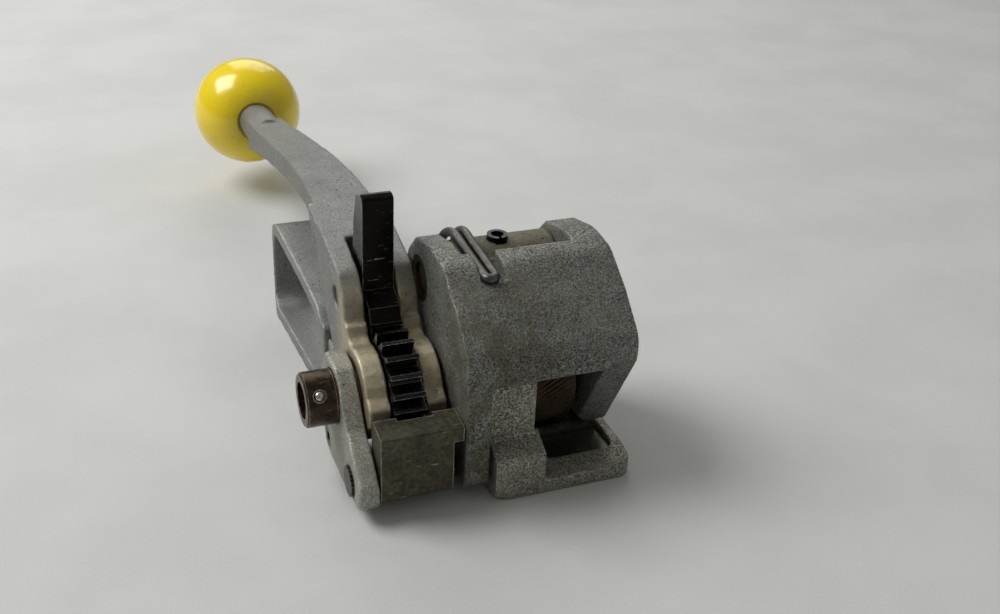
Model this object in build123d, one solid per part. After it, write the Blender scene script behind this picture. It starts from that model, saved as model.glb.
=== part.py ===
from build123d import *
import os
from math import cos, hypot, pi, radians, sin, tan

# Hand-cranked feed-wheel tensioner for steel strap, in millimetres.
# X runs along the feed shaft, Y runs back towards the ball knob, Z is up. Everything is
# drawn with the handle's mid-plane at X = 0 and moved by STRAP_X as it is written, so the
# origin lies on the flat underside of the foot, straight below the feed wheel's centre.

# ---- driving dimensions ------------------------------------------------------------
SHAFT_Z = 24.2                 # feed shaft axis above the table
PIVOT_Y, PIVOT_Z = 14.7, 48.5  # axis on which the housing tilts over the base
HOLD_Y, HOLD_Z = -17.5, 7.8    # pin of the hold pawl, straight below its nose
HOLD_PIN_R = 2.2
DRIVE_Y, DRIVE_Z = 19.9, 43.5  # pin of the drive pawl, in the handle fork
STUD_Y, STUD_Z, STUD_R = 7.9, 5.4, 2.8  # tie between side plate and housing, below the wheel
GAP = 0.05                     # radial running clearance of pins and journals

TEETH = 20
PITCH = 360 / TEETH
TIP_R, ROOT_R = 16.8, 13.6
CREST = 4.5                    # angle that a tooth's flat crest covers
WHEEL_X0, WHEEL_X1 = -4.5, 4.5
STEEP_FACE = 178.5             # angle of one steep tooth face, from +Y towards +Z
TIP_RELIEF = 0.5               # room left round the tips by the hold pawl's block
CHEEK_SWEEP_R = 15.4           # furthest that the cheeks reach from the shaft in front

SIDE_X0, SIDE_X1 = -17.3, -11.7       # side plate
FORK_X0, FORK_X1 = -11.1, 10.7        # handle fork, over both cheeks
SLOT_X0, SLOT_X1 = -4.9, 5.0          # slot of the fork
LEFT_X0, LEFT_X1 = 11.9, 19.1         # left wall of the housing
RIGHT_X0, RIGHT_X1 = 51.6, 61.1       # right wall of the housing
FRONT_Y = -27.0                       # front face of housing and hold pawl
SHELL = 5.0                           # thickness of the housing's front and top

FOOT_X0, FOOT_X1 = 20.3, 62.5
FOOT_Y0, FOOT_Y1 = -29.2, 26.0
FOOT_H = 6.0
POCKET_X0, POCKET_X1 = 38.0, 59.5
POCKET_Y0, POCKET_Y1 = -21.5, 14.0
POCKET_Z = 2.5
GRIPPER_SCREWS = ((43.5, 9.0), (54.0, 9.0))   # clear of the point below the shaft
POST_X0, POST_X1 = 20.3, 33.6
ARM_X0 = 26.6                         # the arm narrows here to pass the spring
HUB_R, HUB_X0, HUB_X1 = 9.9, 19.7, 51.2
PIN_R = 5.0                           # pivot pin
SPRING_SEAT_R = 14.6                  # room around the hub for the torsion spring

FEED_R, FEED_X0, FEED_X1 = 16.9, 34.7, 49.0
STRAP_X = (FEED_X0 + FEED_X1) / 2     # middle of the strap's path
FEED_TEETH = 72
SHAFT_R, SEAT_R, JOURNAL_R = 7.0, 6.5, 5.5
SHAFT_X0, SHAFT_X1 = -23.4, 62.8
COLLAR_X0, COLLAR_X1, COLLAR_R = -25.9, -17.6, 7.7
PLUNGER_TURN = 54                     # the ball faces forwards and up

LOOP_X1 = 2.3
LOOP_BAND = 4.2
LOOP_SCREW_Z = (9.8, 17.0)
CROSS_Y0, CROSS_Y1 = 25.5, 33.0
BALL_Y, BALL_Z, BALL_R = 210.4, 31.0, 21.5
NECK_Y, NECK_Z, NECK_R = 165.0, 36.2, 6.8
ARM_Y0 = 44.0                         # where the bar leaves the fork


# ---- helpers -------------------------------------------------------------------------
def outline(points):
    """Closed face in (Y, Z) through points (y, z, corner radius), corners rounded."""
    edges = []
    ends = []
    count = len(points)
    for i, (y, z, r) in enumerate(points):
        back, ahead = points[i - 1], points[(i + 1) % count]
        a = Vector(back[0] - y, back[1] - z).normalized()
        b = Vector(ahead[0] - y, ahead[1] - z).normalized()
        corner = Vector(y, z)
        half = radians(a.get_angle(b)) / 2
        if r == 0 or abs(half - pi / 2) < 0.01:
            ends.append((corner, corner))
            continue
        reach = 0.48 * min(hypot(back[0] - y, back[1] - z), hypot(ahead[0] - y, ahead[1] - z))
        cut = min(r / tan(half), reach)
        r = cut * tan(half)
        start, end = corner + a * cut, corner + b * cut
        middle = corner + (a + b).normalized() * (r / sin(half) - r)
        edges.append(ThreePointArc(start, middle, end))
        ends.append((start, end))
    for i in range(count):
        start, end = ends[i - 1][1], ends[i][0]
        if (end - start).length > 0.001:
            edges.append(Line(start, end))
    return make_face(edges)


def prism(points, x0, x1):
    """Extrude a rounded (Y, Z) outline from x0 to x1."""
    return extrude(Plane.YZ.offset(x0) * outline(points), x1 - x0)


def plate(face, x0, x1):
    """Extrude a ready (Y, Z) face from x0 to x1."""
    return extrude(Plane.YZ.offset(x0) * face, x1 - x0)


def rod(x0, x1, y, z, r):
    """Solid cylinder along X."""
    return Plane(origin=(x0, y, z), z_dir=(1, 0, 0)) * extrude(Circle(r), x1 - x0)


def ring(x0, x1, y, z, outer, inner):
    """Tube along X."""
    return rod(x0, x1, y, z, outer) - rod(x0 - 1, x1 + 1, y, z, inner)


def block(x0, x1, y0, y1, z0, z1):
    """Box between six planes."""
    return Pos((x0 + x1) / 2, (y0 + y1) / 2, (z0 + z1) / 2) * Box(x1 - x0, y1 - y0, z1 - z0)


def polar(r, angle):
    """Point (y, z) at radius r and angle round the shaft."""
    return r * cos(radians(angle)), SHAFT_Z + r * sin(radians(angle))


def turned(point, centre, angle):
    """Rotate a (y, z) point about a (y, z) centre, positive from +Y towards +Z."""
    dy, dz = point[0] - centre[0], point[1] - centre[1]
    c, s = cos(radians(angle)), sin(radians(angle))
    return centre[0] + dy * c - dz * s, centre[1] + dy * s + dz * c


def torsion_coil(x0, y, z, radius, wire, pitch, turns):
    """Coil of round wire about an X axis."""
    path = Plane(origin=(x0, y, z), z_dir=(1, 0, 0)) * Helix(pitch, pitch * turns, radius)
    section = Plane(origin=path @ 0, z_dir=path % 0) * Circle(wire)
    return sweep(section, path=path, is_frenet=True)


# ---- base: foot, post, hub and cross arm ---------------------------------------------
def foot():
    plan = Rectangle(FOOT_X1 - FOOT_X0, FOOT_Y1 - FOOT_Y0)
    plan = fillet(plan.vertices(), 5)
    slab = Pos((FOOT_X0 + FOOT_X1) / 2, (FOOT_Y0 + FOOT_Y1) / 2) * extrude(plan, FOOT_H)
    nose = prism([(FOOT_Y0 - 1, 4.0, 0), (FOOT_Y0 - 1, 9, 0), (-20, 9, 0), (-20, FOOT_H, 0)],
                 FOOT_X0 - 1, FOOT_X1 + 1)
    pocket_plan = Rectangle(POCKET_X1 - POCKET_X0, POCKET_Y1 - POCKET_Y0)
    pocket_plan = fillet(pocket_plan.vertices(), 3)
    pocket = Pos((POCKET_X0 + POCKET_X1) / 2, (POCKET_Y0 + POCKET_Y1) / 2, POCKET_Z)
    return slab - nose - pocket * extrude(pocket_plan, 10)


def post():
    column = prism([(-23, 2, 0), (-23, 33, 3), (-12, 45, 6), (4, 53, 0), (9, 40, 0),
                    (-9, 34.5, 8), (-11, 20, 0), (-11, 2, 0)], POST_X0, POST_X1)
    toe = prism([(-29.2, 1.2, 1), (-29.2, 13, 2.5), (-22, 17, 0), (-22, 1.2, 0)], FOOT_X0, 35)
    link = prism([(-6, 47.5, 0), (6, 56.5, 0), (14.7, 52, 0), (12, 39.2, 0), (-6, 35.5, 0)],
                 ARM_X0, POST_X1)
    seat = ring(POST_X0 - 1, ARM_X0 - 0.2, PIVOT_Y, PIVOT_Z, SPRING_SEAT_R, HUB_R)
    hub = rod(HUB_X0, HUB_X1, PIVOT_Y, PIVOT_Z, HUB_R)
    return column + toe + link - seat + hub


def base_casting():
    cross = block(-10, 36, CROSS_Y0, CROSS_Y1, 0, 8) + block(22, 40, 20, CROSS_Y1, 0, FOOT_H)
    ear = prism([(CROSS_Y0, 0, 0), (CROSS_Y0, 20, 4), (29, 22.5, 2), (CROSS_Y1, 22.5, 0),
                 (CROSS_Y1, 0, 0)], -10.5, 2)
    body = foot() + post() + cross + ear
    body -= rod(HUB_X0 - 1, HUB_X1 + 1, PIVOT_Y, PIVOT_Z, PIN_R)
    body -= Pos(35.0, PIVOT_Y, 52) * Cylinder(3.0, 24)
    for x, y in GRIPPER_SCREWS:
        body -= Pos(x, y, 0) * Cylinder(2.1, 12)
        body -= Pos(x, y, 1.2) * Cone(3.9, 2.1, 2.4)
    for z in LOOP_SCREW_Z:
        body -= Pos(-4.3, 29, z) * Rot(90, 0, 0) * Cylinder(2.0, 12)
    return body


def gripper_plate():
    tongue = block(POCKET_X0 + 0.2, POCKET_X1 - 0.2, POCKET_Y0 + 0.2, -9, POCKET_Z, 4.2)
    anvil = prism([(-9.5, POCKET_Z, 0), (-9.5, 6.2, 0), (-8, 7.05, 0), (9, 7.05, 0),
                   (POCKET_Y1 - 0.4, 5.5, 0), (POCKET_Y1 - 0.4, POCKET_Z, 0)],
                  POCKET_X0 + 0.2, POCKET_X1 - 0.2)
    plan = fillet(Rectangle(POCKET_X1 - POCKET_X0 - 0.3, POCKET_Y1 - POCKET_Y0 - 0.3).vertices(), 3)
    middle = Pos((POCKET_X0 + POCKET_X1) / 2, (POCKET_Y0 + POCKET_Y1) / 2)
    plate_body = (tongue + anvil) & middle * extrude(plan, 20)
    groove = Rot(0, 45, 0) * Box(0.7, 60, 0.7)
    for i in range(-2, 12):
        plate_body -= Pos(POCKET_X0 + 2 * i, 0, 7.1) * Rot(0, 0, 25) * groove
    for x, y in GRIPPER_SCREWS:
        plate_body -= Pos(x, y, 3.5) * Cylinder(2.0, 6)
    return plate_body


def gripper_screws():
    return Compound([Pos(x, y, 0.4) * (Pos(0, 0, 1.0) * Cone(3.4, 2.0, 2.0)
                                       + Pos(0, 0, 2.9) * Cylinder(2.0, 5.8)
                                       - Cylinder(1.3, 2)) for x, y in GRIPPER_SCREWS])


# ---- base: D-shaped finger loop ------------------------------------------------------
def grip_loop():
    outer = prism([(CROSS_Y1, 0, 2), (CROSS_Y1, 25, 3), (41, 30.4, 14), (53, 32.6, 0),
                   (90, 36.6, 13), (101, 24, 15), (97.5, 0, 10)], -15.5, LOOP_X1)
    inner = prism([(CROSS_Y1 + 4, LOOP_BAND, 3), (CROSS_Y1 + 4, 22.5, 3), (43, 26.6, 12),
                   (54, 28.6, 0), (87.5, 32.2, 5), (96.5, 22.5, 9), (93.6, LOOP_BAND, 7)], -17, 4)
    plan = Polyline((-11.6, 30), (-14.6, 90), (-13.6, 97), (-6, 101.2), (LOOP_X1 - 1.5, 97.5),
                    (LOOP_X1, 92), (LOOP_X1, 30), close=True)
    loop = (outer - inner) & extrude(make_face(plan), 60)
    for z in LOOP_SCREW_Z:
        loop -= Pos(-4.3, 34, z) * Rot(90, 0, 0) * Cylinder(2.1, 12)
    return loop


def grip_screws():
    return Compound([Pos(-4.3, CROSS_Y1 + 4, z) * Rot(-90, 0, 0)
                     * (Pos(0, 0, 1.8) * Cylinder(3.2, 3.6) + Pos(0, 0, -5) * Cylinder(2.0, 10)
                        - Pos(0, 0, 3.2) * extrude(RegularPolygon(1.6, 6), 1.0))
                     for z in LOOP_SCREW_Z])


def pivot_pin():
    return rod(LEFT_X0 + 1.2, RIGHT_X1 - 1.0, PIVOT_Y, PIVOT_Z, PIN_R) - \
        Pos(35.0, PIVOT_Y, PIVOT_Z) * Cylinder(3.0, 20)


def hub_roll_pin():
    tube = Cylinder(3.0, 19.5) - Cylinder(1.9, 30) - Pos(0, -2.5, 0) * Box(0.9, 3, 30)
    return Pos(35.0, PIVOT_Y, 59.6 - 9.75) * tube


# ---- frame: housing, side plate, pins ------------------------------------------------
def housing():
    rise = [(FRONT_Y, 44, 12), (-16.5, 53.8, 0), (-5, 61.6, 9), (6, 62.6, 12), (19, 59.6, 0)]
    boss = [(26.3, 52.5, 6), (26.3, 44, 6), (24.5, 30, 8)]
    left = prism([(FRONT_Y, 4.4, 2.5)] + rise + boss + [(22, 7, 4), (13, 1.6, 4), (-4, 1.6, 4),
                 (-17, 4.4, 4)], LEFT_X0, LEFT_X1)
    right = prism([(-11.5, 8, 3), (FRONT_Y, 37.5, 6)] + rise + boss + [(21, 8, 4)],
                  RIGHT_X0, RIGHT_X1)
    right -= Pos(RIGHT_X0, 0, 8) * Rot(0, 45, 0) * Box(5.0, 90, 5.0)
    cover = prism([(FRONT_Y, 35.7, 0)] + rise[:3] + [(0.5, 62.0, 0), (0.5, 30, 0)],
                  LEFT_X0 + 1, RIGHT_X0 + 1)
    cavity = prism([(FRONT_Y + SHELL, 20, 0), (FRONT_Y + SHELL, 42.5, 7), (-13.7, 49.7, 0),
                    (-3.5, 56.4, 5), (9, 57.0, 0), (9, 20, 0)], LEFT_X1, RIGHT_X0)
    notch = prism([(-10.5, 57.9, 0), (3, 57.9, 0), (3, 70, 0), (-10.5, 70, 0)], 21.5, 28.6)
    clear = rod(LEFT_X1, RIGHT_X0, PIVOT_Y, PIVOT_Z, 10.4)
    body = left + right + (cover - cavity - notch - clear)
    body -= rod(LEFT_X0 - 1, RIGHT_X1 - 0.8, PIVOT_Y, PIVOT_Z, 6.5)
    body -= rod(LEFT_X0 - 1, LEFT_X1 + 1, 0, SHAFT_Z, 9.5)
    body -= rod(RIGHT_X0 - 1, RIGHT_X1 + 1, 0, SHAFT_Z, 8.0)
    body -= rod(LEFT_X0 - 1, LEFT_X1 + 1, HOLD_Y, HOLD_Z, HOLD_PIN_R)
    body -= rod(LEFT_X0 - 1, LEFT_X1 + 1, STUD_Y, STUD_Z, 2.0)
    body -= rod(LEFT_X1 - 1.8, LEFT_X1 + 1, STUD_Y, STUD_Z, 3.4)
    return body


def side_plate():
    body = prism([(-28.0, 8.0, 5.0), (-26.6, 11.6, 4.0), (-21.5, 16.0, 6), (-13.5, 20.8, 5),
                  (-7.5, 28.0, 5), (-1.5, 33.6, 4), (9.5, 33.9, 5), (12.4, 26, 6),
                  (12.3, 8, 0), (11, 1.2, 5.5), (-9, 1.2, 10), (-26.5, 3.6, 5)], SIDE_X0, SIDE_X1)
    body = fillet(body.edges().group_by(Axis.X)[0], 1.0)
    body -= rod(SIDE_X0 - 1, SIDE_X1 + 1, 0, SHAFT_Z, 7.5)
    body -= rod(SIDE_X0 - 1, SIDE_X1 + 1, HOLD_Y, HOLD_Z, HOLD_PIN_R)
    body -= rod(SIDE_X0 - 1, SIDE_X0 + 1.8, HOLD_Y, HOLD_Z, 4.3)
    body -= rod(SIDE_X0 - 1, SIDE_X1 + 1, STUD_Y, STUD_Z, 2.0)
    body -= rod(SIDE_X0 - 1, SIDE_X0 + 2.4, STUD_Y, STUD_Z, 3.4)
    return body


def pawl_pivot_pin():
    head = rod(SIDE_X0 - 0.7, SIDE_X0 + 1.8, HOLD_Y, HOLD_Z, 4.2)
    for i in range(20):
        at = Pos(SIDE_X0, HOLD_Y, HOLD_Z) * Rot(18 * i, 0, 0) * Pos(0, 4.25, 0)
        head -= at * Rot(45, 0, 0) * Box(6, 0.62, 0.62)
    return head + rod(SIDE_X0 + 1.8, LEFT_X1 - 0.5, HOLD_Y, HOLD_Z, HOLD_PIN_R)


def rear_stud():
    return ring(SIDE_X1, LEFT_X0, STUD_Y, STUD_Z, STUD_R, 2.0)


def rear_stud_screws():
    left = rod(SIDE_X0 + 0.4, SIDE_X0 + 2.4, STUD_Y, STUD_Z, 3.3) + \
        rod(SIDE_X0 + 2.4, SIDE_X1 + 8, STUD_Y, STUD_Z, 2.0)
    left -= rod(SIDE_X0, SIDE_X0 + 1.6, STUD_Y, STUD_Z, 1.4)
    right = rod(LEFT_X1 - 1.8, LEFT_X1 - 0.2, STUD_Y, STUD_Z, 3.3) + \
        rod(LEFT_X0 - 8, LEFT_X1 - 1.8, STUD_Y, STUD_Z, 2.0)
    return Compound([left, right])


def base_spring():
    wire, mean = 1.2, 11.5
    coil = torsion_coil(20.9, PIVOT_Y, PIVOT_Z, mean, wire, 2.55, 1.6)
    leg = Plane(origin=(25, PIVOT_Y - 3, PIVOT_Z + mean), z_dir=(0, -1, -0.03))
    return coil + leg * extrude(Circle(wire), 20.5)


def hold_pawl_spring():
    return torsion_coil(9.6, HOLD_Y, HOLD_Z, 3.9, 0.5, 1.05, 1.4)


def drive_pawl_spring():
    return torsion_coil(-3.7, DRIVE_Y, DRIVE_Z, 4.3, 0.5, 1.1, 1.4)


# ---- shaft body ----------------------------------------------------------------------
def main_shaft():
    left = rod(SHAFT_X0, FORK_X0 - 0.2, 0, SHAFT_Z, JOURNAL_R)
    middle = rod(FORK_X0 - 0.2, FEED_X0, 0, SHAFT_Z, SHAFT_R)
    seat = rod(FEED_X0, RIGHT_X0 - 0.1, 0, SHAFT_Z, SEAT_R)
    right = rod(RIGHT_X0 - 0.1, SHAFT_X1, 0, SHAFT_Z, JOURNAL_R)
    body = left + middle + seat + right
    body -= block(WHEEL_X0, WHEEL_X1, -1.5, 1.5, SHAFT_Z + 5.2, SHAFT_Z + 9)
    body -= block(FEED_X0 + 1, FEED_X1, -1.5, 1.5, SHAFT_Z + 4.7, SHAFT_Z + 9)
    body -= ring(61.4, 62.2, 0, SHAFT_Z, 7, 4.6)
    body -= Pos(-22.2, 0, SHAFT_Z) * Rot(PLUNGER_TURN, 0, 0) * Pos(0, 0, 4) * Cylinder(1.75, 5)
    return body


def toothed_face():
    points = []
    for i in range(TEETH):
        steep = STEEP_FACE + i * PITCH
        for r, a in ((TIP_R, -CREST), (TIP_R, 0), (ROOT_R, -2.4), (ROOT_R, 4.0)):
            points.append(polar(r, steep + a))
    return make_face(Polyline(*points, close=True))


def ratchet_wheel():
    body = plate(toothed_face(), WHEEL_X0, WHEEL_X1)
    body -= rod(WHEEL_X0 - 1, WHEEL_X1 + 1, 0, SHAFT_Z, SHAFT_R)
    return body - block(WHEEL_X0 - 1, WHEEL_X1 + 1, -1.5, 1.5, SHAFT_Z, SHAFT_Z + 8.6)


def key(x0, x1, low, high):
    return block(x0 + 0.1, x1 - 0.1, -1.5, 1.5, SHAFT_Z + low, SHAFT_Z + high)


def feed_wheel():
    body = rod(FEED_X0, FEED_X1, 0, SHAFT_Z, FEED_R)
    body = chamfer(body.edges().group_by(Axis.X)[-1], 1.0)
    for i in range(FEED_TEETH):
        at = Pos(STRAP_X, 0, SHAFT_Z) * Rot(i * 360 / FEED_TEETH, 0, 0)
        body -= at * Pos(0, 0, FEED_R + 0.08) * Rot(0, 0, 118) * Rot(0, 45, 0) * Box(0.6, 26, 0.6)
    body -= rod(FEED_X0 - 1, FEED_X1 + 1, 0, SHAFT_Z, SEAT_R)
    return body - block(FEED_X0 + 1, FEED_X1 + 1, -1.5, 1.5, SHAFT_Z, SHAFT_Z + 8.1)


def shaft_collar():
    body = rod(COLLAR_X0, COLLAR_X1, 0, SHAFT_Z, COLLAR_R)
    body = chamfer(body.edges().group_by(Axis.X)[0], 0.5)
    body -= rod(SHAFT_X0, COLLAR_X1 + 1, 0, SHAFT_Z, JOURNAL_R)
    body -= rod(COLLAR_X0 - 1, SHAFT_X0, 0, SHAFT_Z, 5.2)
    return body - Pos(-22.2, 0, SHAFT_Z) * Rot(PLUNGER_TURN, 0, 0) * Pos(0, 0, 6) * Cylinder(1.75, 8)


def collar_plunger():
    stem = Pos(0, 0, 4.6) * Cylinder(1.7, 4.6)
    return Pos(-22.2, 0, SHAFT_Z) * Rot(PLUNGER_TURN, 0, 0) * (stem + Pos(0, 0, 6.6) * Sphere(1.55))


# ---- handle --------------------------------------------------------------------------
def cheek_outline():
    rel = [(-15.0, 2.6, 1), (-15.0, -2.5, 3), (-11.8, -6.5, 3), (-7, -12.0, 5), (3, -13.2, 6),
           (11, -11.0, 5), (19, -6.5, 6), (23.5, -1.0, 6), (28.5, 6.0, 5), (33.5, 11.1, 5),
           (37.6, 13.0, 4), (40.8, 19.5, 6), (41.2, 27, 6), (48, 27.4, 0), (52, 33.8, 0),
           (36, 32.6, 12), (24, 29.9, 8), (17.2, 28.4, 5), (12.0, 22.5, 6), (10.3, 15.8, 3),
           (8.6, 15.9, 1), (6.9, 12.6, 2)]
    arc = [(12.8 * cos(radians(a)), 12.8 * sin(radians(a)), 0) for a in range(70, 161, 15)]
    return [(y, z + SHAFT_Z, r) for y, z, r in rel + arc + [(-12.6, 4.4, 0.8)]]


def arm_bar():
    top = Spline((ARM_Y0 - 8, 56.6), (60, 58.4), (90, 55.8), (136, 47.3), (174, 40.2))
    low = Spline((174, 28.2), (136, 39.0), (90, 48.4), (60, 51.6), (ARM_Y0 - 3, 50.5))
    face = make_face([top, Line((174, 40.2), (174, 28.2)), low,
                      Line((ARM_Y0 - 3, 50.5), (ARM_Y0 - 8, 56.6))])
    bar = plate(face, FORK_X0, FORK_X1)
    right = Spline((FORK_X1, 30), (9.0, 56), (8.0, 95), (7.3, 150), (6.6, 174))
    left = Spline((-6.6, 174), (-7.3, 150), (-8.0, 95), (-9.0, 56), (FORK_X0, 30))
    plan = make_face([right, Line((6.6, 174), (-6.6, 174)), left,
                      Line((FORK_X0, 30), (FORK_X1, 30))])
    bar = bar & extrude(plan, 80)
    along = Plane(origin=(0, NECK_Y, NECK_Z), z_dir=(0, BALL_Y - NECK_Y, BALL_Z - NECK_Z))
    reach = hypot(BALL_Y - NECK_Y, BALL_Z - NECK_Z)
    return bar + along * extrude(Circle(NECK_R), reach - 10) + \
        along * extrude(Circle(4.0), reach + 4)


def handle_casting():
    body = prism(cheek_outline(), FORK_X0, FORK_X1)
    slot = prism([(-20, 0, 0), (-20, 70, 0), (32.0, 70, 0), (32.0, 52, 4), (27.0, 36, 6),
                  (22.5, 24, 6), (14, 8, 0), (8, 0, 0)], SLOT_X0, SLOT_X1)
    body = body + arm_bar() - slot
    body -= rod(FORK_X0 - 1, FORK_X1 + 1, 0, SHAFT_Z, 9.0)
    body -= rod(FORK_X0 - 1, FORK_X1 + 1, DRIVE_Y, DRIVE_Z, 3.2)
    return body


def cheek_bushes():
    return Compound([ring(a, b, 0, SHAFT_Z, 9.0, SHAFT_R + GAP)
                     for a, b in ((FORK_X0, SLOT_X0), (SLOT_X1, FORK_X1))])


def drive_pawl_pin():
    return rod(FORK_X0 + 0.8, FORK_X1 - 0.3, DRIVE_Y, DRIVE_Z, 3.2)


def knob_axis():
    return Plane(origin=(0, BALL_Y, BALL_Z), z_dir=(0, BALL_Y - NECK_Y, BALL_Z - NECK_Z))


def ball_knob():
    body = Pos(0, BALL_Y, BALL_Z) * Sphere(BALL_R)
    body -= knob_axis() * Pos(0, 0, -20.2) * Cylinder(NECK_R + 0.2, 20.4)
    return body - knob_axis() * Pos(0, 0, -2) * Cylinder(5.6, 16)


def knob_insert():
    return knob_axis() * Pos(0, 0, -2) * (Cylinder(5.6, 16) - Cylinder(4.0, 30))


# ---- pawls ---------------------------------------------------------------------------
DRIVE_LIFT, HOLD_LIFT = -18.0, 9.0    # noses rest outside the tip circle, at any wheel angle
# Noses as (radius, angle past the steep face). The hold pawl's flank stays under the arc
# that a tooth's corner makes past it as the pawl swings in.
DRIVE_NOSE = ((18.4, 1.6), (14.9, 0.6), (14.9, 2.6), (17.2, 6.4), (19.0, 9.0))
HOLD_NOSE = ((18.4, 1.9), (14.9, 2.2), (14.9, 5.0), (17.2, 8.8), (19.0, 11.0))


def nose(profile, steep, centre, lift):
    """Tooth of a pawl, drawn seated against a steep face and turned clear of the tips."""
    return [turned(polar(r, steep + a), centre, lift) for r, a in profile]


def drive_pawl():
    centre = (DRIVE_Y, DRIVE_Z)
    tip = nose(DRIVE_NOSE, STEEP_FACE - 7 * PITCH, centre, DRIVE_LIFT)
    hook = prism([(y, z, 0) for y, z in tip] +
                 [(DRIVE_Y - 5.2, DRIVE_Z + 3.6, 0), (DRIVE_Y - 1.2, DRIVE_Z - 5.8, 0)],
                 -4.4, 4.5)
    lever = prism([(14.6, 44, 0), (14.9, 52, 0), (14.9, 74.3, 0.8), (17.6, 75.2, 2),
                   (21.2, 73.4, 1.5), (23.6, 66, 6), (25.6, 54, 10), (25.6, 43, 0)], -4.4, 4.5)
    hub = rod(-4.4, 4.5, DRIVE_Y, DRIVE_Z, 6.0)
    body = hook + lever + hub
    body -= rod(-5, 5, DRIVE_Y, DRIVE_Z, 3.2 + GAP)
    return body - rod(-5, -1.0, DRIVE_Y, DRIVE_Z, 5.2)


def hold_pawl():
    centre = (HOLD_Y, HOLD_Z)
    tip = nose(HOLD_NOSE, STEEP_FACE, centre, HOLD_LIFT)
    body = prism([(FRONT_Y, 5.9, 0.6), (FRONT_Y, 25.5, 0.5), (-18.2, 26.4, 0.5),
                  (-18.2, 15.5, 2), (-13.4, 10.5, 3), (-13.4, 4.2, 3), (-20.5, 4.2, 2),
                  (-22.5, 5.9, 1)], -11.4, 11.4)
    tooth = prism([(y, z, 0) for y, z in tip] + [(-22, 14, 0), (-22, 25, 0)], -4.3, 4.3)
    wheel_centre = turned((0, SHAFT_Z), centre, HOLD_LIFT)
    body -= rod(-12, 12, *wheel_centre, CHEEK_SWEEP_R + TIP_RELIEF)
    body -= rod(WHEEL_X0 - 0.5, WHEEL_X1 + 0.5, *wheel_centre, TIP_R + TIP_RELIEF)
    body = body + tooth
    body -= block(8.7, 13, FRONT_Y - 1, -10, 0, 21.3)
    return body - rod(-12, 12, HOLD_Y, HOLD_Z, HOLD_PIN_R + GAP)


PARTS = {
    "base_casting": base_casting,
    "gripper_plate": gripper_plate,
    "gripper_screws": gripper_screws,
    "grip_loop": grip_loop,
    "grip_screws": grip_screws,
    "pivot_pin": pivot_pin,
    "hub_roll_pin": hub_roll_pin,
    "housing": housing,
    "side_plate": side_plate,
    "pawl_pivot_pin": pawl_pivot_pin,
    "rear_stud": rear_stud,
    "rear_stud_screws": rear_stud_screws,
    "base_spring": base_spring,
    "hold_pawl_spring": hold_pawl_spring,
    "pivot_bush_left": lambda: ring(LEFT_X0 + 0.4, LEFT_X1, PIVOT_Y, PIVOT_Z, 6.5, PIN_R + GAP),
    "pivot_bush_right": lambda: ring(RIGHT_X0, RIGHT_X1 - 0.8, PIVOT_Y, PIVOT_Z, 6.5,
                                     PIN_R + GAP),
    "shaft_bearing_left": lambda: ring(SIDE_X0, SIDE_X1, 0, SHAFT_Z, 7.5, JOURNAL_R + GAP),
    "shaft_bearing_middle": lambda: ring(LEFT_X0, LEFT_X1, 0, SHAFT_Z, 9.5, SHAFT_R + GAP),
    "shaft_bearing_right": lambda: ring(RIGHT_X0, RIGHT_X1, 0, SHAFT_Z, 8.0, JOURNAL_R + GAP),
    "main_shaft": main_shaft,
    "ratchet_wheel": ratchet_wheel,
    "ratchet_key": lambda: key(WHEEL_X0, WHEEL_X1, 5.2, 8.5),
    "feed_wheel": feed_wheel,
    "feed_key": lambda: key(FEED_X0 + 1, FEED_X1, 4.7, 8.0),
    "wheel_spacer": lambda: ring(FEED_X1, RIGHT_X0 - 0.1, 0, SHAFT_Z, 9.0, SEAT_R),
    "shaft_ring": lambda: ring(61.4, 62.2, 0, SHAFT_Z, 7.4, 4.6)
    - block(61, 63, -2, 2, SHAFT_Z - 9, SHAFT_Z - 3),
    "shaft_collar": shaft_collar,
    "collar_plunger": collar_plunger,
    "handle_casting": handle_casting,
    "cheek_bushes": cheek_bushes,
    "drive_pawl_pin": drive_pawl_pin,
    "ball_knob": ball_knob,
    "knob_insert": knob_insert,
    "drive_pawl": drive_pawl,
    "drive_pawl_spring": drive_pawl_spring,
    "hold_pawl": hold_pawl,
}

os.makedirs("parts", exist_ok=True)
for name, make in PARTS.items():
    export_step(Pos(-STRAP_X, 0, 0) * make(), f"parts/{name}.step")
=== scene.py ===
"""Looks of a hand-cranked strapping tensioner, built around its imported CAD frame."""

import logging
import math
from dataclasses import dataclass
from enum import Enum
from typing import Any, Callable, Iterable, Sequence

import bmesh
import bpy
from mathutils import Matrix, Vector


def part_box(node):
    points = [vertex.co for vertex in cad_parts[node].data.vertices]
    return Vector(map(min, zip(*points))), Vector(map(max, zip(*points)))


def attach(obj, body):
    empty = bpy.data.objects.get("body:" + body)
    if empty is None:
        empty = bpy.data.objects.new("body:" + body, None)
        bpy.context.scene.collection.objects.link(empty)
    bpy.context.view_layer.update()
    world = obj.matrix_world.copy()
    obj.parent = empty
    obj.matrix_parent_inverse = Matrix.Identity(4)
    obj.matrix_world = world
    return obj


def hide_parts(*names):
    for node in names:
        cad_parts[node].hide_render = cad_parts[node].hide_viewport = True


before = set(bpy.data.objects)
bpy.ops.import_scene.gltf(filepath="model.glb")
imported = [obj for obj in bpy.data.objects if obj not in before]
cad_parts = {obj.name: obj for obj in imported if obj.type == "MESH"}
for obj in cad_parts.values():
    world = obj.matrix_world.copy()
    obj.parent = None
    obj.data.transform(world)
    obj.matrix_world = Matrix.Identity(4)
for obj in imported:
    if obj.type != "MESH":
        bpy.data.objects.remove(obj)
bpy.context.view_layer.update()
LOG = logging.getLogger("tensioner")

MM = 0.001
Colour = tuple[float, float, float]

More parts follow.
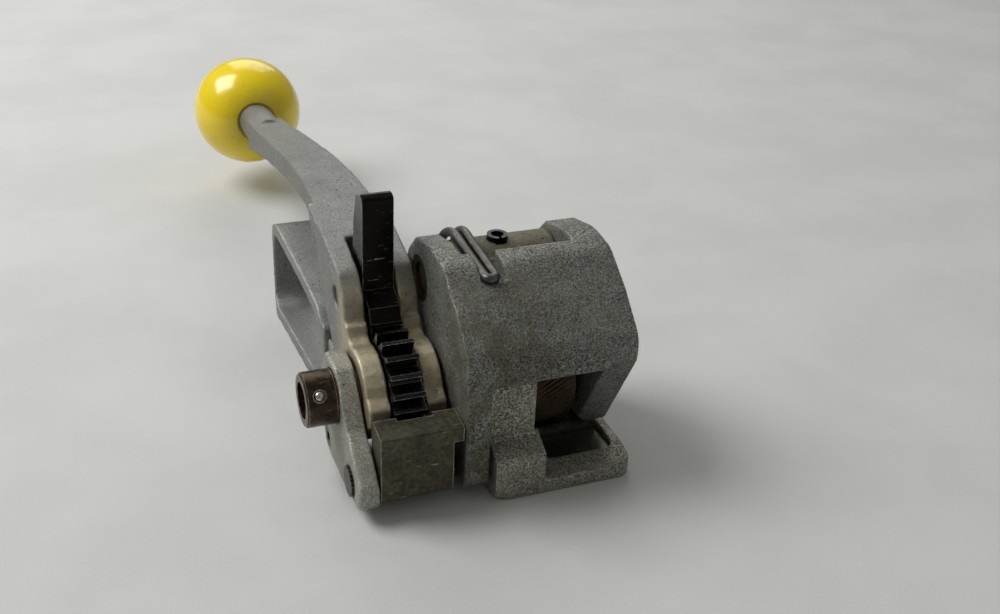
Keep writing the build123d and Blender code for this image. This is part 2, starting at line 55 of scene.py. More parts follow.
# Sockets of the Mix node when it blends colours.
MIX_FACTOR, MIX_FIRST, MIX_SECOND, MIX_COLOUR = 0, 6, 7, 2
EDGE_SAMPLES = 4
OPEN_SAMPLES = 6
COAT_ROUGHNESS = 0.12


# ---- shader graph --------------------------------------------------------------------
class Value:
    """A number that varies over a surface: one output socket with arithmetic on it."""

    def __init__(self, graph: "Graph", socket: bpy.types.NodeSocket) -> None:
        """Wrap a socket.

        Args:
            graph: The graph that the socket belongs to.
            socket: The output socket.
        """
        self.graph = graph
        self.socket = socket

    def _with(self, operation: str, first: Any, second: Any) -> "Value":
        """Add a Math node.

        Args:
            operation: The Math node's operation.
            first: Left operand, a Value or a number.
            second: Right operand, a Value or a number.

        Returns:
            The result as a Value.
        """
        return self.graph.node("ShaderNodeMath", {"operation": operation}, {0: first, 1: second})

    def __add__(self, other: Any) -> "Value":
        """Sum."""
        return self._with("ADD", self, other)

    __radd__ = __add__

    def __sub__(self, other: Any) -> "Value":
        """Difference."""
        return self._with("SUBTRACT", self, other)

    def __rsub__(self, other: Any) -> "Value":
        """Reflected difference, so that 1 - mask works."""
        return self._with("SUBTRACT", other, self)

    def __mul__(self, other: Any) -> "Value":
        """Product."""
        return self._with("MULTIPLY", self, other)

    __rmul__ = __mul__

    def least(self, other: Any) -> "Value":
        """The lower of this and another value."""
        return self._with("MINIMUM", self, other)

    def most(self, other: Any) -> "Value":
        """The higher of this and another value."""
        return self._with("MAXIMUM", self, other)

    def ramp(self, low: float, high: float, start: float = 0.0, end: float = 1.0) -> "Value":
        """Map low..high smoothly to start..end, clamped.

        Args:
            low: Input at which the output is start.
            high: Input at which the output is end.
            start: Output at low.
            end: Output at high.

        Returns:
            The mapped value.
        """
        settings = {"interpolation_type": "SMOOTHSTEP", "clamp": True}
        ends = {"Value": self, "From Min": low, "From Max": high, "To Min": start, "To Max": end}
        return self.graph.node("ShaderNodeMapRange", settings, ends, output="Result")


class Graph:
    """A material's node tree and the few ways in which nodes are added to it."""

    def __init__(self, name: str) -> None:
        """Start an empty material.

        Args:
            name: The material's name.
        """
        self.material = bpy.data.materials.new(name)
        self.material.use_nodes = True
        self.tree = self.material.node_tree
        self.tree.nodes.clear()
        self.place = self.node("ShaderNodeTexCoord", output="Object").socket

    def node(self, kind: str, settings: dict[str, Any] | None = None,
             inputs: dict[Any, Any] | None = None, output: Any = 0) -> Value:
        """Add any node.

        Args:
            kind: The node's type.
            settings: Properties, set before the sockets are.
            inputs: Socket name or index to a number, colour, socket or Value.
            output: Name or index of the output wanted.

        Returns:
            The chosen output.
        """
        made = self.tree.nodes.new(kind)
        for key, setting in (settings or {}).items():
            setattr(made, key, setting)
        for key, wanted in (inputs or {}).items():
            if isinstance(wanted, Value):
                wanted = wanted.socket
            if isinstance(wanted, bpy.types.NodeSocket):
                self.tree.links.new(wanted, made.inputs[key])
            else:
                made.inputs[key].default_value = wanted
        return Value(self, made.outputs[output])

    def mix(self, factor: Any, first: Any, second: Any) -> bpy.types.NodeSocket:
        """Blend two colours.

        Args:
            factor: Share of the second colour.
            first: A colour or a colour socket.
            second: A colour or a colour socket.

        Returns:
            The colour socket.
        """
        def full(colour: Any) -> Any:
            """Add alpha to a plain colour."""
            return (*colour, 1.0) if isinstance(colour, tuple) else colour
        return self.node("ShaderNodeMix", {"data_type": "RGBA", "blend_type": "MIX"},
                         {MIX_FACTOR: factor, MIX_FIRST: full(first), MIX_SECOND: full(second)},
                         output=MIX_COLOUR).socket

    def mapped(self, scale: Sequence[float],
               turn: Sequence[float] = (0, 0, 0)) -> bpy.types.NodeSocket:
        """Turn and stretch the object coordinates.

        Args:
            scale: Factor along each axis. A small one draws a pattern out into streaks.
            turn: Turn about each axis, in radians.

        Returns:
            The vector socket.
        """
        return self.node("ShaderNodeMapping", {}, {"Vector": self.place, "Scale": scale,
                                                   "Rotation": turn}).socket

    def noise(self, size_mm: float, detail: float = 3.0, rough: float = 0.55,
              vector: Any = None, twist: float = 0.0) -> Value:
        """Add cloudy noise.

        Args:
            size_mm: Rough width of a blob.
            detail: Octaves of finer noise.
            rough: Strength of the finer octaves.
            vector: Coordinates to use in place of the plain ones.
            twist: Distortion.

        Returns:
            The noise, about 0.5 on average.
        """
        return self.node("ShaderNodeTexNoise", {"noise_dimensions": "3D"},
                         {"Vector": vector or self.place, "Scale": 1 / (size_mm * MM),
                          "Detail": detail, "Roughness": rough, "Distortion": twist})

    def dots(self, size_mm: float) -> Value:
        """Distance to the nearest of many scattered points, size_mm apart."""
        return self.node("ShaderNodeTexVoronoi", {"feature": "F1"},
                         {"Vector": self.place, "Scale": 1 / (size_mm * MM)})

    def axis(self, letter: str) -> Value:
        """One of the object coordinates, in metres."""
        return self.node("ShaderNodeSeparateXYZ", {}, {0: self.place}, output="XYZ".index(letter))

    def edge(self, radius_mm: float) -> Value:
        """Find the edges of the mesh.

        Args:
            radius_mm: How far from an edge the value still rises.

        Returns:
            0 on flats, rising to about 1 on edges.
        """
        bevelled = self.node("ShaderNodeBevel", {"samples": EDGE_SAMPLES},
                             {"Radius": radius_mm * MM}).socket
        normal = self.node("ShaderNodeNewGeometry", output="Normal").socket
        facing = self.node("ShaderNodeVectorMath", {"operation": "DOT_PRODUCT"},
                           {0: bevelled, 1: normal}, output="Value")
        return (1 - facing).ramp(0.012, 0.16)

    def open(self, reach_mm: float) -> Value:
        """1 in the open and falling towards 0 in corners and slots."""
        return self.node("ShaderNodeAmbientOcclusion",
                         {"samples": OPEN_SAMPLES, "only_local": True},
                         {"Distance": reach_mm * MM}, output="AO")

    def bump(self, height: Value, depth_mm: float, under: Any = None) -> bpy.types.NodeSocket:
        """Turn a height of 0..1 into a normal.

        Args:
            height: The height.
            depth_mm: Depth that a change of 1 stands for.
            under: A normal to add the bumps to.

        Returns:
            The normal socket.
        """
        inputs = {"Height": height, "Distance": depth_mm * MM, "Strength": 1.0}
        if under is not None:
            inputs["Normal"] = under
        return self.node("ShaderNodeBump", {}, inputs).socket

    def finish(self, colour: Any, rough: Any, normal: Any, metallic: Any, coat: float = 0.0,
               specular: float = 0.5) -> bpy.types.Material:
        """Close the graph with a Principled shader.

        Args:
            colour: Base colour.
            rough: Roughness.
            normal: Normal.
            metallic: Metallic share.
            coat: Weight of the clear coat.
            specular: Specular level.

        Returns:
            The finished material.
        """
        shader = self.node("ShaderNodeBsdfPrincipled", {},
                           {"Base Color": colour, "Roughness": rough, "Normal": normal,
                            "Metallic": metallic, "Coat Weight": coat,
                            "Coat Roughness": COAT_ROUGHNESS, "Specular IOR Level": specular})
        out = self.tree.nodes.new("ShaderNodeOutputMaterial")
        self.tree.links.new(shader.socket, out.inputs["Surface"])
        return self.material


# ---- finishes ------------------------------------------------------------------------
@dataclass(frozen=True)
class CastAlloy:
    """Sand-cast alloy, blasted, with dark speckle, pits, greasy dirt, rubbed edges, painted shade
    in corners and slots and, where set, painted shade on the top.
    """

    name: str
    pale: Colour
    dark: Colour
    # Colour for real grime and for the painted shade in corners and slots.
    grime_and_shade: Colour = (0.040, 0.034, 0.023)
    bright: Colour = (0.62, 0.61, 0.57)
    warm: Colour = (0.560, 0.480, 0.310)
    # Dark brown for the real stain on the left and for the painted shade on the top.
    dark_brown: Colour = (0.120, 0.104, 0.064)
    grime_share: float = 0.45
    speckle: float = 0.55
    wear: float = 1.0
    rough: float = 0.40
    left_grime: float = 0.0
    # Height above which the top is painted darker as shade; 0 means none.
    shade_above: float = 0.0
    warm_share: float = 0.0

    def material(self) -> bpy.types.Material:
        """Build the material.

        Returns:
            The material.
        """
        g = Graph(self.name)
        grain = g.noise(0.42, 4, 0.7)
        pepper = g.noise(0.58, 5, 0.80)
        blotch = g.noise(5.5, 6, 0.7)
        clouds = g.noise(24, 4, 0.6)
        open_air = g.open(4)
        edge = g.edge(0.75)
        colour = g.mix(blotch.ramp(0.36, 0.64) * 0.20 + grain.ramp(0.40, 0.60) * 0.80,
                       self.dark, self.pale)
        fleck = pepper.ramp(0.47, 0.60) * self.speckle * (0.70 + clouds.ramp(0.35, 0.6) * 0.30)
        colour = g.mix(fleck, colour, tuple(c * 0.16 for c in self.dark))
        if self.warm_share:
            front = g.axis("Y").ramp(0.024, 0.006) * g.axis("Z").ramp(0.058, 0.044)
            rubbed = front * (0.6 + g.noise(2.2, 5, 0.7).ramp(0.36, 0.60) * 0.4) * self.warm_share
            colour = g.mix(rubbed, colour, self.warm)
        # The darkening below blends real cloudy grime with painted shade that deepens in corners
        # and slots, taken from the occlusion term.
        darkening = (clouds.ramp(0.48, 0.70) * self.grime_share * 0.6
                + (1 - open_air).ramp(0.10, 0.55) * 0.95)
        if self.left_grime:
            left = g.axis("X").ramp(0.004, -0.016) * g.axis("Y").ramp(-0.004, -0.012)
            dark_brown = left * g.noise(8, 5, 0.7).ramp(0.38, 0.62) * self.left_grime
            colour = g.mix(dark_brown, colour, self.dark_brown)
        # Painted shade: above the given height the casting is blended towards dark brown,
        # standing for shade on its top.
        if self.shade_above:
            colour = g.mix(g.axis("Z").ramp(self.shade_above - 0.004, self.shade_above) * 0.8, colour,
                           self.dark_brown)
        darkening = darkening.least(1.0)
        # Blend towards the grime colour: real grime plus painted shade in corners and slots.
        colour = g.mix(darkening * 0.80, colour, self.grime_and_shade)
        pits = (1 - g.dots(2.6).ramp(0.06, 0.17)) * g.noise(7, 2).ramp(0.48, 0.58)
        colour = g.mix(pits * 0.9, colour, tuple(c * 0.3 for c in self.grime_and_shade))
        rub = edge * g.noise(1.7, 5, 0.7).ramp(0.36, 0.56) * self.wear
        cut = g.noise(0.3, 2, 0.5, g.mapped((1, 0.05, 0.35), (0.3, 0.2, 0.7))).ramp(0.66, 0.71)
        cut = cut * g.noise(10, 2).ramp(0.5, 0.62)
        rub = rub.most(cut * 0.6) * open_air.ramp(0.45, 0.8)
        colour = g.mix(rub, colour, self.bright)
        rough = (self.rough + grain * 0.16 + darkening * 0.14 + fleck * 0.12) - rub * 0.16
        if self.warm_share:
            rough = rough - rubbed * 0.16
        skin = g.bump(grain * 0.8 - fleck * 0.9 - pits * 1.8 - cut * 0.5, 0.15)
        normal = g.bump(blotch, 0.06, skin)
        return g.finish(colour, rough, normal, 0.88 - darkening * 0.45)


@dataclass(frozen=True)
class DarkSteel:
    """Dark steel, mottled by oil and oxide, bright where its edges rub, with painted shade in
    corners and slots.
    """

    name: str
    base: Colour
    mottle: Colour
    bright: Colour = (0.42, 0.40, 0.36)
    rough: float = 0.34
    contrast: float = 0.8
    mottle_mm: float = 1.5
    wear: float = 0.8
    wear_mm: float = 0.5
    lines: float = 0.0

    def material(self) -> bpy.types.Material:
        """Build the material.

        Returns:
            The material.
        """
        g = Graph(self.name)
        cloud = g.noise(self.mottle_mm, 6, 0.72)
        broad = g.noise(self.mottle_mm * 5, 3, 0.55)
        fine = g.noise(0.4, 3, 0.6)
        edge = g.edge(self.wear_mm)
        open_air = g.open(3)
        cuts = g.noise(0.22, 2, 0.5, g.mapped((0.04, 1, 1)))
        colour = g.mix(cloud.ramp(0.34, 0.70) * self.contrast, self.base, self.mottle)
        colour = g.mix(broad.ramp(0.4, 0.68) * 0.45, colour, tuple(c * 0.55 for c in self.base))
        # Painted shade: corners and slots darkened towards near black.
        colour = g.mix((1 - open_air).ramp(0.2, 0.7) * 0.8, colour, (0.012, 0.010, 0.008))
        rub = edge * (0.45 + g.noise(1.8, 3).ramp(0.38, 0.6) * 0.55) * self.wear
        scuff = g.noise(0.3, 2, 0.5, g.mapped((0.06, 1, 0.5), (0.5, 0.1, 0.4))).ramp(0.68, 0.74)
        rub = rub.most(scuff * 0.45) * open_air.ramp(0.35, 0.75)
        colour = g.mix(rub, colour, self.bright)
        rough = (self.rough + cloud.ramp(0.3, 0.7, -0.05, 0.10)) + cuts * 0.08 * self.lines
        normal = g.bump(fine * 0.5 + cuts * self.lines, 0.022)
        normal = g.bump(cloud, 0.02, normal)
        return g.finish(colour, rough, normal, 0.94, specular=0.5)


@dataclass(frozen=True)
class BallPlastic:
    """Glossy moulded plastic with dull marks, a few nicks and painted shade round the neck's
    middle.
    """

    name: str
    base: Colour
    shade: Colour
    # Centre of the painted shade round the neck.
    neck_shade_centre: tuple[float, float, float]

    def material(self) -> bpy.types.Material:
        """Build the material.

        Returns:
            The material.
        """
        g = Graph(self.name)
        broad = g.noise(16, 3)
        colour = g.mix(broad.ramp(0.35, 0.7) * 0.5, self.base, self.shade)
        marks = g.noise(1.6, 5, 0.7, twist=1.2).ramp(0.60, 0.68) * g.noise(11, 2).ramp(0.52, 0.62)
        nicks = (1 - g.dots(5.5).ramp(0.045, 0.085)) * g.noise(9, 1).ramp(0.45, 0.55)
        scratch = g.noise(0.5, 2, 0.5, g.mapped((1, 0.05, 0.2), (0.2, 0.6, 0.3))).ramp(0.66, 0.70)
        darkening = (marks * 0.5).most(nicks * 0.9).most(scratch * 0.28)
        colour = g.mix(darkening, colour, (0.16, 0.11, 0.02))
        # Painted shade: the ball darkens towards where the neck enters it.
        near_neck = g.node("ShaderNodeVectorMath", {"operation": "DISTANCE"},
                           {0: g.place, 1: self.neck_shade_centre}, output="Value")
        colour = g.mix((1 - near_neck.ramp(0.0, 0.020)) * 0.6, colour, (0.10, 0.08, 0.02))
        rough = 0.17 + broad.ramp(0.3, 0.7) * 0.07 + darkening * 0.4
        normal = g.bump(g.noise(5, 2) - nicks * 1.4 - scratch * 0.3, 0.05)
        return g.finish(colour, rough, normal, 0.0, coat=0.35, specular=0.5)


ALLOY_COVER = CastAlloy("cover_alloy", (0.400, 0.400, 0.365), (0.125, 0.124, 0.106),
                        speckle=0.85, grime_share=0.34, left_grime=0.60)
# The base casting's hub, above 55 mm, gets painted shade.
ALLOY_BASE = CastAlloy("base_alloy", (0.620, 0.600, 0.520), (0.200, 0.188, 0.150),
                       grime_share=0.55, speckle=0.75, shade_above=0.055)
ALLOY_LOOP = CastAlloy("loop_alloy", (0.400, 0.402, 0.380), (0.225, 0.225, 0.208),
                       grime_share=0.30, speckle=0.30)
ALLOY_PLATE = CastAlloy("plate_alloy", (0.580, 0.565, 0.500), (0.270, 0.260, 0.220),
                        grime_share=0.45, speckle=0.50)
ALLOY_HANDLE = CastAlloy("handle_alloy", (0.330, 0.332, 0.315), (0.185, 0.185, 0.170),
                         grime_and_shade=(0.090, 0.075, 0.048), grime_share=0.28, speckle=0.34,
                         warm_share=0.85)
BRONZE = DarkSteel("bearing_bronze", (0.110, 0.072, 0.036), (0.190, 0.130, 0.066),
                   bright=(0.45, 0.34, 0.20), rough=0.42)
BRASS = DarkSteel("knob_brass", (0.36, 0.26, 0.11), (0.46, 0.35, 0.17), rough=0.3)
SPRING = DarkSteel("spring_steel", (0.085, 0.082, 0.074), (0.165, 0.158, 0.144),
                   bright=(0.40, 0.39, 0.37), rough=0.36, lines=0.6)
BLACK_FASTENER = DarkSteel("black_fastener", (0.012, 0.012, 0.011), (0.036, 0.034, 0.030),
                           bright=(0.20, 0.19, 0.18), rough=0.32, wear=0.6)
HARDENED = DarkSteel("hardened_steel", (0.120, 0.125, 0.098), (0.230, 0.235, 0.190),
                     bright=(0.26, 0.22, 0.17), rough=0.40, wear=0.55, wear_mm=0.25)
FEED_STEEL = DarkSteel("feed_steel", (0.030, 0.020, 0.012), (0.070, 0.046, 0.028),
                       bright=(0.24, 0.18, 0.12), rough=0.40, wear=0.75, wear_mm=0.22)
RATCHET_STEEL = DarkSteel("ratchet_steel", (0.022, 0.021, 0.019), (0.052, 0.048, 0.042),
                          bright=(0.72, 0.70, 0.66), rough=0.22, wear=0.95, wear_mm=0.24)
LEVER_STEEL = DarkSteel("lever_steel", (0.009, 0.008, 0.006), (0.020, 0.017, 0.012),
                        bright=(0.52, 0.50, 0.45), rough=0.20, contrast=0.5, mottle_mm=3.0,
                        wear=0.9, wear_mm=0.35)
PAWL_STEEL = DarkSteel("pawl_steel", (0.055, 0.049, 0.034), (0.150, 0.134, 0.094),
                       bright=(0.60, 0.57, 0.50), rough=0.36, contrast=0.75, mottle_mm=1.3,
                       wear=0.95, lines=0.3)
COLLAR_STEEL = DarkSteel("collar_steel", (0.048, 0.032, 0.020), (0.115, 0.082, 0.056),
                         bright=(0.56, 0.51, 0.44), rough=0.28, wear=0.95, lines=0.4)
PIN_STEEL = DarkSteel("pin_steel", (0.160, 0.150, 0.130), (0.260, 0.245, 0.215),
                      bright=(0.52, 0.50, 0.46), rough=0.30, lines=0.5)
PIN_HEAD_STEEL = DarkSteel("pin_head_steel", (0.045, 0.041, 0.034), (0.105, 0.096, 0.080),
                           bright=(0.40, 0.38, 0.34), rough=0.34, wear=0.8, wear_mm=0.3)
BRIGHT_STEEL = DarkSteel("bright_steel", (0.58, 0.57, 0.55), (0.70, 0.69, 0.66),
                         bright=(0.80, 0.79, 0.77), rough=0.14, wear=0.3)


# ---- mesh helpers --------------------------------------------------------------------
class Quality(Enum):
    """How finely a casting's skin is remade, in millimetres."""

    BROAD = 0.50
    FINE = 0.42


def deselect() -> None:
    """Leave object mode and deselect everything."""
    if bpy.context.object and bpy.context.object.mode != "OBJECT":
        bpy.ops.object.mode_set(mode="OBJECT")
    bpy.ops.object.select_all(action="DESELECT")


def activate(piece: bpy.types.Object) -> None:
    """Select one piece alone and make it active."""
    deselect()
    piece.select_set(True)
    bpy.context.view_layer.objects.active = piece


def apply_modifier(piece: bpy.types.Object, kind: str, **settings: Any) -> None:
    """Add a modifier, set it and apply it.

    Args:
        piece: The mesh object.
        kind: The modifier's type.
        **settings: Its properties.
    """
    activate(piece)
    modifier = piece.modifiers.new(kind.title(), kind)
    for key, setting in settings.items():
        setattr(modifier, key, setting)
    bpy.ops.object.modifier_apply(modifier=modifier.name)


def settle(piece: bpy.types.Object) -> None:
    """Put the piece's place, turn and scale into its mesh."""
    activate(piece)
    bpy.ops.object.transform_apply(location=True, rotation=True, scale=True)


def tidy_mesh(piece: bpy.types.Object, merge_mm: float = 0.002) -> None:
    """Merge doubles and point every face outwards.

    Args:
        piece: The mesh object.
        merge_mm: Vertices closer than this are merged.
    """
    activate(piece)
    bpy.ops.object.mode_set(mode="EDIT")
    bpy.ops.mesh.select_all(action="SELECT")
    bpy.ops.mesh.remove_doubles(threshold=merge_mm * MM)
    bpy.ops.mesh.normals_make_consistent(inside=False)
    bpy.ops.object.mode_set(mode="OBJECT")


def pick_faces(piece: bpy.types.Object, wanted: Callable[[Vector, Vector], bool]) -> int:
    """Select the faces for which wanted(centre, normal) holds, and stay in edit mode.

    Args:
        piece: The mesh object.
        wanted: Test on a face's centre and normal.

    Returns:
        How many faces are selected.
    """
    activate(piece)
    bpy.ops.object.mode_set(mode="EDIT")
    bpy.ops.mesh.select_mode(type="FACE")
    bpy.ops.mesh.select_all(action="DESELECT")
    mesh = bmesh.from_edit_mesh(piece.data)
    found = [f for f in mesh.faces if wanted(f.calc_center_median(), f.normal)]
    for face in found:
        face.select_set(True)
    bmesh.update_edit_mesh(piece.data)
    return len(found)


def soften(piece: bpy.types.Object, angle_deg: float = 40) -> None:
    """Shade smooth except across edges sharper than angle_deg."""
    activate(piece)
    bpy.ops.object.shade_smooth_by_angle(angle=math.radians(angle_deg))


def dress(piece: bpy.types.Object, material: bpy.types.Material) -> None:
    """Give the piece one material."""
    piece.data.materials.clear()
    piece.data.materials.append(material)


def hand_over(piece: bpy.types.Object, name: str, body: str,
              material: bpy.types.Material, nodes: Iterable[str] = ()) -> bpy.types.Object:
    """Name, dress and ride a finished piece, and log it.

    Args:
        piece: The finished mesh object.
        name: Its name.
        body: The body that it moves with.
        material: Its material.
        nodes: CAD nodes that it stands for.

    Returns:
        The piece.
    """
    settle(piece)
    piece.name = name
    piece.data.name = name
    dress(piece, material)
    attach(piece, body)
    names = list(nodes)
    if names:
        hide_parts(*names)
    LOG.info("%s: %d faces on %s", name, len(piece.data.polygons), body)
    return piece


# ---- sub-assemblies ------------------------------------------------------------------
@dataclass
class Casting:
    """One cast part: the CAD shape with its edges softened and a slightly uneven skin."""

    node: str
    body: str
    slot: str
    finish: CastAlloy
    quality: Quality = Quality.BROAD
    rounds: int = 2
    uneven_mm: float = 0.07
    lump_mm: float = 7

    def build(self) -> bpy.types.Object:
        """Remake the skin from a merged copy of the CAD solid.

        Returns:
            The piece, riding on its body.
        """
        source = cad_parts[self.node]
        piece = bpy.data.objects.new(self.node + "_cast", source.data.copy())
        bpy.context.scene.collection.objects.link(piece)
        tidy_mesh(piece)
        apply_modifier(piece, "REMESH", mode="VOXEL", voxel_size=self.quality.value * MM,
                       adaptivity=0.0)
        apply_modifier(piece, "SMOOTH", factor=0.5, iterations=self.rounds)
        lumps = bpy.data.textures.new(self.node + "_lumps", "CLOUDS")
        lumps.noise_scale = self.lump_mm * MM
        apply_modifier(piece, "DISPLACE", texture=lumps, texture_coords="LOCAL",
                       strength=self.uneven_mm * MM, mid_level=0.5)
        activate(piece)
        bpy.ops.object.shade_smooth()
        return hand_over(piece, self.node + "_cast", self.body,
                         self.finish.material(), [self.node])


@dataclass
class BallKnob:
    """Ball knob with a dished seat round the lever's neck."""

    radius: float = 21.5 * MM
    neck: float = 7.0 * MM
    segments: int = 96
    rings: int = 64
    gap: float = 0.9 * MM
    lip: float = 0.8 * MM
    dish: float = 0.5 * MM
    rim: float = 0.15 * MM
    bore: float = 9 * MM

    def build(self) -> bpy.types.Object:
        """Model the ball from a sphere, cut flat at the neck and bored.

        Returns:
            The piece, riding on the handle.
        """
        low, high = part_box("ball_knob")
        centre = (low + high) / 2
        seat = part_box("knob_insert")
        towards = ((seat[0] + seat[1]) / 2 - centre).normalized()
        deselect()
        bpy.ops.mesh.primitive_uv_sphere_add(segments=self.segments, ring_count=self.rings,
                                             radius=self.radius)
        piece = bpy.context.object
        cap = self.radius * math.cos(math.asin((self.neck + self.gap) / self.radius))
        activate(piece)
        bpy.ops.object.mode_set(mode="EDIT")
        bpy.ops.mesh.select_all(action="SELECT")
        bpy.ops.mesh.bisect(plane_co=(0, 0, cap), plane_no=(0, 0, 1), clear_outer=True,
                            use_fill=True)
        bpy.ops.object.mode_set(mode="OBJECT")
        count = pick_faces(piece, lambda c, n: n.z > 0.99 and c.z > cap - 0.05 * MM)
        if count:
            bpy.ops.mesh.inset(thickness=self.lip, depth=-self.dish)
            bpy.ops.mesh.inset(thickness=self.rim, depth=0.0)
            bpy.ops.mesh.extrude_region_move(
                TRANSFORM_OT_translate={"value": (0, 0, -self.bore)})
        activate(piece)
        tidy_mesh(piece)
        piece.data.transform(Matrix.Translation(centre)
                             @ towards.to_track_quat("Z", "Y").to_matrix().to_4x4())
        soften(piece, 35)
        # The last argument is the centre of the painted shade round the neck.
        finish = BallPlastic("knob_plastic", (0.900, 0.680, 0.004), (0.820, 0.590, 0.003),
                             tuple(centre + towards * self.radius))
        return hand_over(piece, "ball", "handle", finish.material(),
                         ["ball_knob"])


@dataclass
class HairpinSpring:
    """Torsion spring round the hub: two coils side by side that meet in a loop over the cover."""

    wire: float = 1.35 * MM
    mean: float = 12.2 * MM
    pivot: tuple[float, float] = (14.7 * MM, 48.5 * MM)
    xs: tuple[float, float] = (-19.3 * MM, -16.3 * MM)
    tip_y: float = -8.6 * MM
    tip_z: float = 59.2 * MM
    spread: float = 1.4 * MM
    start_deg: float = -60
    step_deg: float = 11.6
    steps: int = 14

    def path(self) -> list[Vector]:
        """Lay out the wire's centre line.

        Returns:
            Points from the back of one coil, over the loop, to the back of the other.
        """
        def coil(x: float, outward: float) -> list[Vector]:
            """Lay out one leg's turn, from behind the hub up to where it leaves for the cover.

            Args:
                x: Where the leg ends up along the hub.
                outward: Side to which it spreads behind the hub, -1 or 1.

            Returns:
                Points along the turn.
            """
            points = []
            for step in range(self.steps + 1):
                angle = math.radians(self.start_deg + step * self.step_deg)
                drift = outward * self.spread * (1 - step / self.steps)
                points.append(Vector((x + drift, self.pivot[0] + self.mean * math.cos(angle),
                                      self.pivot[1] + self.mean * math.sin(angle))))
            return points
        left = coil(self.xs[0], -1)
        right = coil(self.xs[1], 1)
        middle = sum(self.xs) / 2
        half = (self.xs[1] - self.xs[0]) / 2
        nose = [Vector((middle - half * math.cos(a), self.tip_y - half * math.sin(a), self.tip_z))
                for a in (0.0, 0.55, 1.05, math.pi / 2, 2.09, 2.59, math.pi)]
        return left + nose + right[::-1]

    def build(self) -> bpy.types.Object:
        """Draw the wire along its path and cap its ends.

        Returns:
            The piece, riding on the frame body.
        """
        deselect()
        line = bpy.data.curves.new("hairpin", "CURVE")
        line.dimensions = "3D"
        points = self.path()
        spline = line.splines.new("NURBS")
        spline.points.add(len(points) - 1)
        for point, place in zip(spline.points, points):
            point.co = (*place, 1.0)
        spline.order_u = 3
        spline.use_endpoint_u = True
        spline.resolution_u = 6
        line.bevel_depth = self.wire
        line.bevel_resolution = 6
        line.use_fill_caps = True
        piece = bpy.data.objects.new("base_spring_wire", line)
        bpy.context.scene.collection.objects.link(piece)
        activate(piece)
        bpy.ops.object.convert(target="MESH")
        piece = bpy.context.object
        tidy_mesh(piece)
        soften(piece, 50)
        return hand_over(piece, "base_spring_wire", "frame",
                         SPRING.material(), ["base_spring"])


@dataclass
class SmallParts:
    """Turned and ground steel parts kept as the CAD has them, each with its own finish."""

    finishes: tuple[tuple[DarkSteel, tuple[str, ...]], ...] = (
        (BRONZE, ("pivot_bush_left", "pivot_bush_right", "shaft_bearing_left",
                  "shaft_bearing_middle", "shaft_bearing_right", "cheek_bushes")),
        (BRASS, ("knob_insert",)),
        (SPRING, ("hold_pawl_spring", "drive_pawl_spring")),
        (BLACK_FASTENER, ("gripper_screws", "grip_screws", "rear_stud_screws", "hub_roll_pin",
                          "shaft_ring")),
        (HARDENED, ("gripper_plate",)),
        (FEED_STEEL, ("feed_wheel",)),
        (RATCHET_STEEL, ("ratchet_wheel",)),
        (LEVER_STEEL, ("drive_pawl",)),
        (PIN_HEAD_STEEL, ("pawl_pivot_pin",)),
        (PAWL_STEEL, ("hold_pawl",)),
        (COLLAR_STEEL, ("shaft_collar",)),
        (PIN_STEEL, ("main_shaft", "pivot_pin", "rear_stud", "ratchet_key", "feed_key",
                     "wheel_spacer", "drive_pawl_pin")),
        (BRIGHT_STEEL, ("collar_plunger",)),
    )

    def build(self) -> None:
        """Dress every kept CAD node."""
        for finish, nodes in self.finishes:
            material = finish.material()
            for name in nodes:
                dress(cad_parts[name], material)
                LOG.info("%s: kept, in %s", name, finish.name)


@dataclass(frozen=True)
class Lamp:
    """One square soft light aimed at the origin."""

    name: str
    place: tuple[float, float, float]
    size: float
    watts: float

    def build(self) -> None:
        """Place the lamp."""
        data = bpy.data.lights.new(self.name, "AREA")
        data.size = self.size
        data.energy = self.watts
        lamp = bpy.data.objects.new(self.name, data)
        bpy.context.scene.collection.objects.link(lamp)
        lamp.location = self.place
        lamp.rotation_mode = "QUATERNION"
        lamp.rotation_quaternion = Vector(self.place).to_track_quat("Z", "Y")


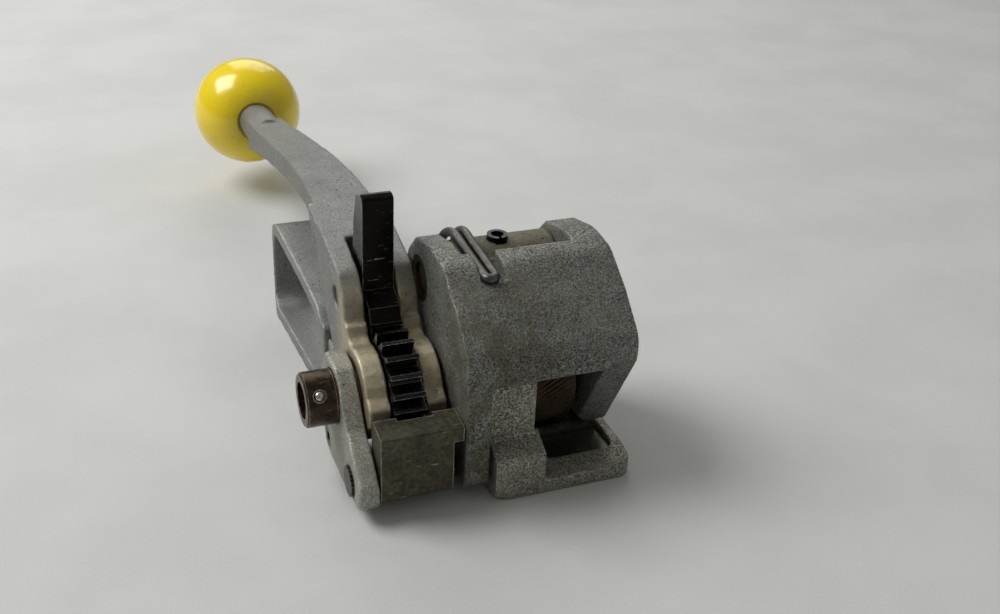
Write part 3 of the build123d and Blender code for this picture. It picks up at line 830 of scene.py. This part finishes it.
@dataclass
class Studio:
    """Pale table, soft light from the upper left and the camera."""

    position: tuple[float, float, float] = (-0.12355, -0.2705, 0.2060)
    yaw: float = math.radians(22.6)
    pitch: float = math.radians(28.9)
    roll: float = math.radians(-2.95)
    lens: float = 43.2
    sensor: float = 36.0
    clip: tuple[float, float] = (0.01, 20.0)
    lamps: tuple[Lamp, ...] = (Lamp("key", (-0.70, 0.45, 0.95), 0.7, 12.5),
                               Lamp("fill", (0.8, -0.9, 0.8), 1.2, 0.8),
                               Lamp("back", (0.25, 1.1, 0.8), 0.9, 4.5))
    sky_colour: Colour = (0.80, 0.80, 0.77)
    sky_strength: float = 0.27
    table_size: float = 8.0
    table_place: tuple[float, float, float] = (0, 2.0, -0.0001)

    def camera(self) -> None:
        """Place the camera and make it the scene's."""
        cy, sy = math.cos(self.yaw), math.sin(self.yaw)
        cp, sp = math.cos(self.pitch), math.sin(self.pitch)
        forward = Vector((sy * cp, cy * cp, -sp))
        right = Vector((cy, -sy, 0))
        down = forward.cross(right)
        cr, sr = math.cos(self.roll), math.sin(self.roll)
        right, down = right * cr + down * sr, down * cr - right * sr
        data = bpy.data.cameras.new("camera")
        data.lens = self.lens
        data.sensor_width = self.sensor
        data.clip_start, data.clip_end = self.clip
        camera = bpy.data.objects.new("camera", data)
        bpy.context.scene.collection.objects.link(camera)
        turn = Matrix((right, -down, -forward)).transposed().to_4x4()
        camera.matrix_world = Matrix.Translation(self.position) @ turn
        bpy.context.scene.camera = camera

    def light(self) -> None:
        """Soft key from the upper left, a weak fill and a pale sky."""
        for lamp in self.lamps:
            lamp.build()
        world = bpy.data.worlds.new("studio")
        bpy.context.scene.world = world
        world.use_nodes = True
        sky = world.node_tree.nodes["Background"]
        sky.inputs["Color"].default_value = (*self.sky_colour, 1.0)
        sky.inputs["Strength"].default_value = self.sky_strength
        bpy.context.scene.view_settings.view_transform = "Standard"

    def floor(self) -> None:
        """Pale table top with a faint weave."""
        deselect()
        bpy.ops.mesh.primitive_plane_add(size=self.table_size, location=self.table_place)
        table = bpy.context.object
        table.name = "table"
        g = Graph("table")
        tint = g.noise(60, 3).ramp(0.35, 0.65)
        colour = g.mix(tint, (0.560, 0.562, 0.548), (0.600, 0.602, 0.588))
        weave = g.noise(0.7, 3, 0.6)
        dress(table, g.finish(colour, 0.82, g.bump(weave, 0.10), 0.0, specular=0.3))

    def build(self) -> None:
        """Set the whole studio."""
        self.floor()
        self.light()
        self.camera()


def main() -> None:
    """Build every sub-assembly in order."""
    logging.basicConfig(level=logging.INFO, format="%(name)s %(message)s")
    SmallParts().build()
    for casting in (
            Casting("housing", "frame", "cover_alloy", ALLOY_COVER),
            Casting("base_casting", "base", "base_alloy", ALLOY_BASE),
            Casting("grip_loop", "base", "base_alloy", ALLOY_LOOP, Quality.FINE, rounds=12),
            Casting("side_plate", "frame", "plate_alloy", ALLOY_PLATE, Quality.FINE),
            Casting("handle_casting", "handle", "handle_alloy", ALLOY_HANDLE)):
        casting.build()
    BallKnob().build()
    HairpinSpring().build()
    Studio().build()


if __name__ == "__main__":
    main()
